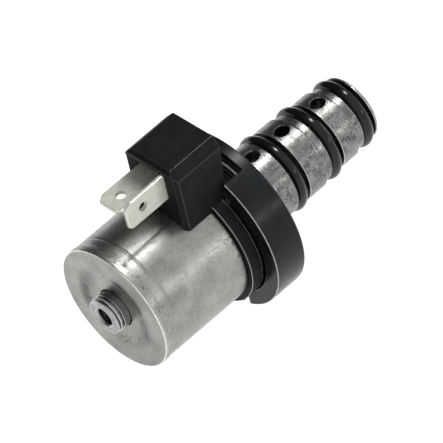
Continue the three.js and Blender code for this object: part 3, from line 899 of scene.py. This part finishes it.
def sleeve_inside(front, rear):
    """The sleeve's bore from its tip to its head, with the clip's groove and the undercuts."""
    plug, bore = PLUG_BORE.radius, SLEEVE.bore
    corners = [
        (rear, plug, 0.1),
        *groove(PLUG_BORE.clip_rear, PLUG_BORE.clip_front, plug, PLUG_BORE.clip_radius, 0.03, 0.03),
        (PLUG_BORE.front, plug, 0.03),
        (PLUG_BORE.front, bore, 0.05),
    ]
    for undercut_front, undercut_rear in UNDERCUT.spans:
        corners += groove(undercut_rear, undercut_front, bore, UNDERCUT.radius, 0.05, 0.2)
    return [*corners, (front, bore, 0.1)]


def cartridge_sleeve():
    front, rear, head = span("cartridge_sleeve")
    outline = sleeve_outside(front, rear, head) + sleeve_inside(front, rear)
    sleeve = lathe("cartridge_sleeve_finished", outline)
    for x, _ in PORTS:
        drill = prism("tool", circle(x, 0, PORT_RADIUS), -head - PAST, head + PAST, upright)
        combine(sleeve, "DIFFERENCE", drill)
    for x, land in PORTS:
        combine(sleeve, "DIFFERENCE", countersink(x, land, 1), countersink(x, land, -1))
    present(sleeve, "valve_body", "sleeve_steel", "cartridge_sleeve")


def ring_piece(node, inner, edge, slot):
    """A plain washer or plug with a hole through it."""
    front, rear, outer = span(node)
    piece = lathe(node + "_finished", [
        (front, inner, edge), (front, outer, edge), (rear, outer, edge), (rear, inner, edge)])
    present(piece, "valve_body", slot, node)


def balance_grooves(radius, places):
    """The shallow grooves that centre the spool in its bore."""
    corners = []
    for x in places:
        front, rear, bottom = x - BALANCE.half, x + BALANCE.half, radius - BALANCE.depth
        corners += groove(front, rear, radius, bottom, 0.03, 0.05)
    return corners


def spool():
    """Two lands with a neck between them, and a pocket for the return spring."""
    front, rear, radius = span("spool")
    neck, pocket = SPOOL_NECK, SPOOL_POCKET
    piece = lathe("spool_finished", [
        (front, 0, 0),
        (front, radius, 0.2),
        *balance_grooves(radius, BALANCE.front),
        (neck.front, radius, 0.08),
        (neck.front, neck.radius, 0.3),
        (neck.rear, neck.radius, 0.3),
        (neck.rear, radius, 0.08),
        *balance_grooves(radius, BALANCE.rear),
        (rear, radius, 0.12),
        (rear, pocket.radius, 0.1),
        (pocket.bottom, pocket.radius, 0.3),
        (pocket.bottom, 0, 0),
    ], SPOOL_STEPS)
    present(piece, "spool_unit", "bright_steel", "spool")


def o_rings():
    """The cartridge's three rings and the seal in the flange's face."""
    for node, outer in O_RING_OUTERS.items():
        front, rear, _ = span(node)
        section = (rear - front) / 2
        ring = torus(node + "_finished", (front + rear) / 2, outer - section, section)
        present(ring, "valve_body", "black_rubber", node)
    front, rear, _ = span("flange_face_seal")
    seal = torus("flange_face_seal_finished", (front + rear) / 2, FACE_SEAL_RING,
                 (rear - front) / 2)
    present(seal, "valve_body", "black_rubber", "flange_face_seal")


def springs():
    """The springs, each with the share of its length that is left at the end of the stroke."""
    pieces = (
        ("return_spring", 22.1, 29.6, 1.95, 0.3, 6, "spool_slide", 0.733),
        ("override_spring", -32.0, -27.5, 1.5, 0.22, 5, "override_slide", 0.556),
    )
    for node, front, rear, radius, wire, turns, joint, keep in pieces:
        piece = coil_spring(node + "_finished", front, rear, radius, wire, turns)
        present(piece, "valve_body", "bright_steel", node)
        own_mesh(piece)


# ---- floor, light and camera -----------------------------------------------------------
def floor():
    half = FLOOR_HALF
    corners = [(-half, -half, 0), (half, -half, 0), (half, half, 0), (-half, half, 0)]
    plane = mesh_object("floor", corners, [[0, 1, 2, 3]])
    plane.location.z = cad_box[0].z - FLOOR_GAP
    f = Finish("pale_floor").set("Base Color", (0.3, 0.3, 0.3, 1)).set("Roughness", 0.9)
    f.set("Emission Color", (1, 1, 1, 1)).set("Emission Strength", FLOOR_GLOW)
    f.set("Specular IOR Level", 0.0)
    plane.data.materials[0] = f.material


def area_light(name, towards, width, height, power):
    """A rectangular lamp in a direction from the valve, facing it. Sizes are in metres."""
    light = bpy.data.lights.new(name, "AREA")
    light.shape = "RECTANGLE"
    light.size = width
    light.size_y = height
    light.energy = power
    lamp = bpy.data.objects.new(name, light)
    bpy.context.scene.collection.objects.link(lamp)
    direction = Vector(towards).normalized()
    lamp.location = direction * LAMP_DISTANCE
    lamp.rotation_euler = direction.to_track_quat("Z", "Y").to_euler()


def world():
    """A studio that is light on the camera's side and dark behind the valve, white to the camera."""
    scene = bpy.context.scene
    scene.world = bpy.data.worlds.new("studio")
    scene.world.use_nodes = True
    tree = scene.world.node_tree
    back = tree.nodes["Background"]
    back.inputs["Color"].default_value = (1, 1, 1, 1)
    place = tree.nodes.new("ShaderNodeTexCoord")
    parts = tree.nodes.new("ShaderNodeSeparateXYZ")
    tree.links.new(place.outputs["Generated"], parts.inputs[0])
    ramp = tree.nodes.new("ShaderNodeMapRange")
    ramp.interpolation_type = "SMOOTHSTEP"
    for socket, number in zip(ramp.inputs[1:5], (*WORLD_FADE, WORLD_LIGHT, WORLD_DARK)):
        socket.default_value = number
    tree.links.new(parts.outputs["Y"], ramp.inputs[0])
    path = tree.nodes.new("ShaderNodeLightPath")
    seen = tree.nodes.new("ShaderNodeMath")
    seen.operation = "MAXIMUM"
    tree.links.new(ramp.outputs[0], seen.inputs[0])
    tree.links.new(path.outputs["Is Camera Ray"], seen.inputs[1])
    tree.links.new(seen.outputs[0], back.inputs["Strength"])


def lights():
    world()
    area_light("overhead", (0.41, 0.06, 0.91), 0.13, 0.6, 6.8)
    area_light("side", (0.41, -0.855, 0.31), 0.5, 0.06, 0.75)


def camera():
    lens = bpy.data.cameras.new("camera")
    lens.sensor_width = SENSOR
    lens.lens = LENS
    lens.clip_start = CLIP_START
    lens.clip_end = CLIP_END
    view = bpy.data.objects.new("camera", lens)
    bpy.context.scene.collection.objects.link(view)
    turn = Matrix((VIEW_RIGHT, VIEW_UP, VIEW_BACK)).transposed().to_4x4()
    view.matrix_world = Matrix.Translation(VIEW_MIDDLE * MM + VIEW_BACK * VIEW_DISTANCE) @ turn
    bpy.context.scene.camera = view


camera()
finish_cad_nodes()
coil_can()
nose_plug()
open_ring("nose_snap_ring", SNAP_RING.inner, SNAP_RING.outer, 0.1, 0.12, SNAP_RING.half_gap)
override_pin()
connector_housing()
blade("terminal_blade_a", 3.6, level=True)
blade("terminal_blade_b", 4.2, level=False)
mounting_flange()
ring_piece("pole_plate", FLANGE.bore, 0.2, "bright_steel")
cartridge_sleeve()
o_rings()
ring_piece("end_plug", PLUG_HOLE, 0.15, "machined_steel")
open_ring("end_clip", CLIP.inner, span("end_clip")[2], 0.06, 0.06, CLIP.half_gap)
spool()
springs()
floor()
lights()
bpy.context.scene.view_settings.view_transform = "Standard"
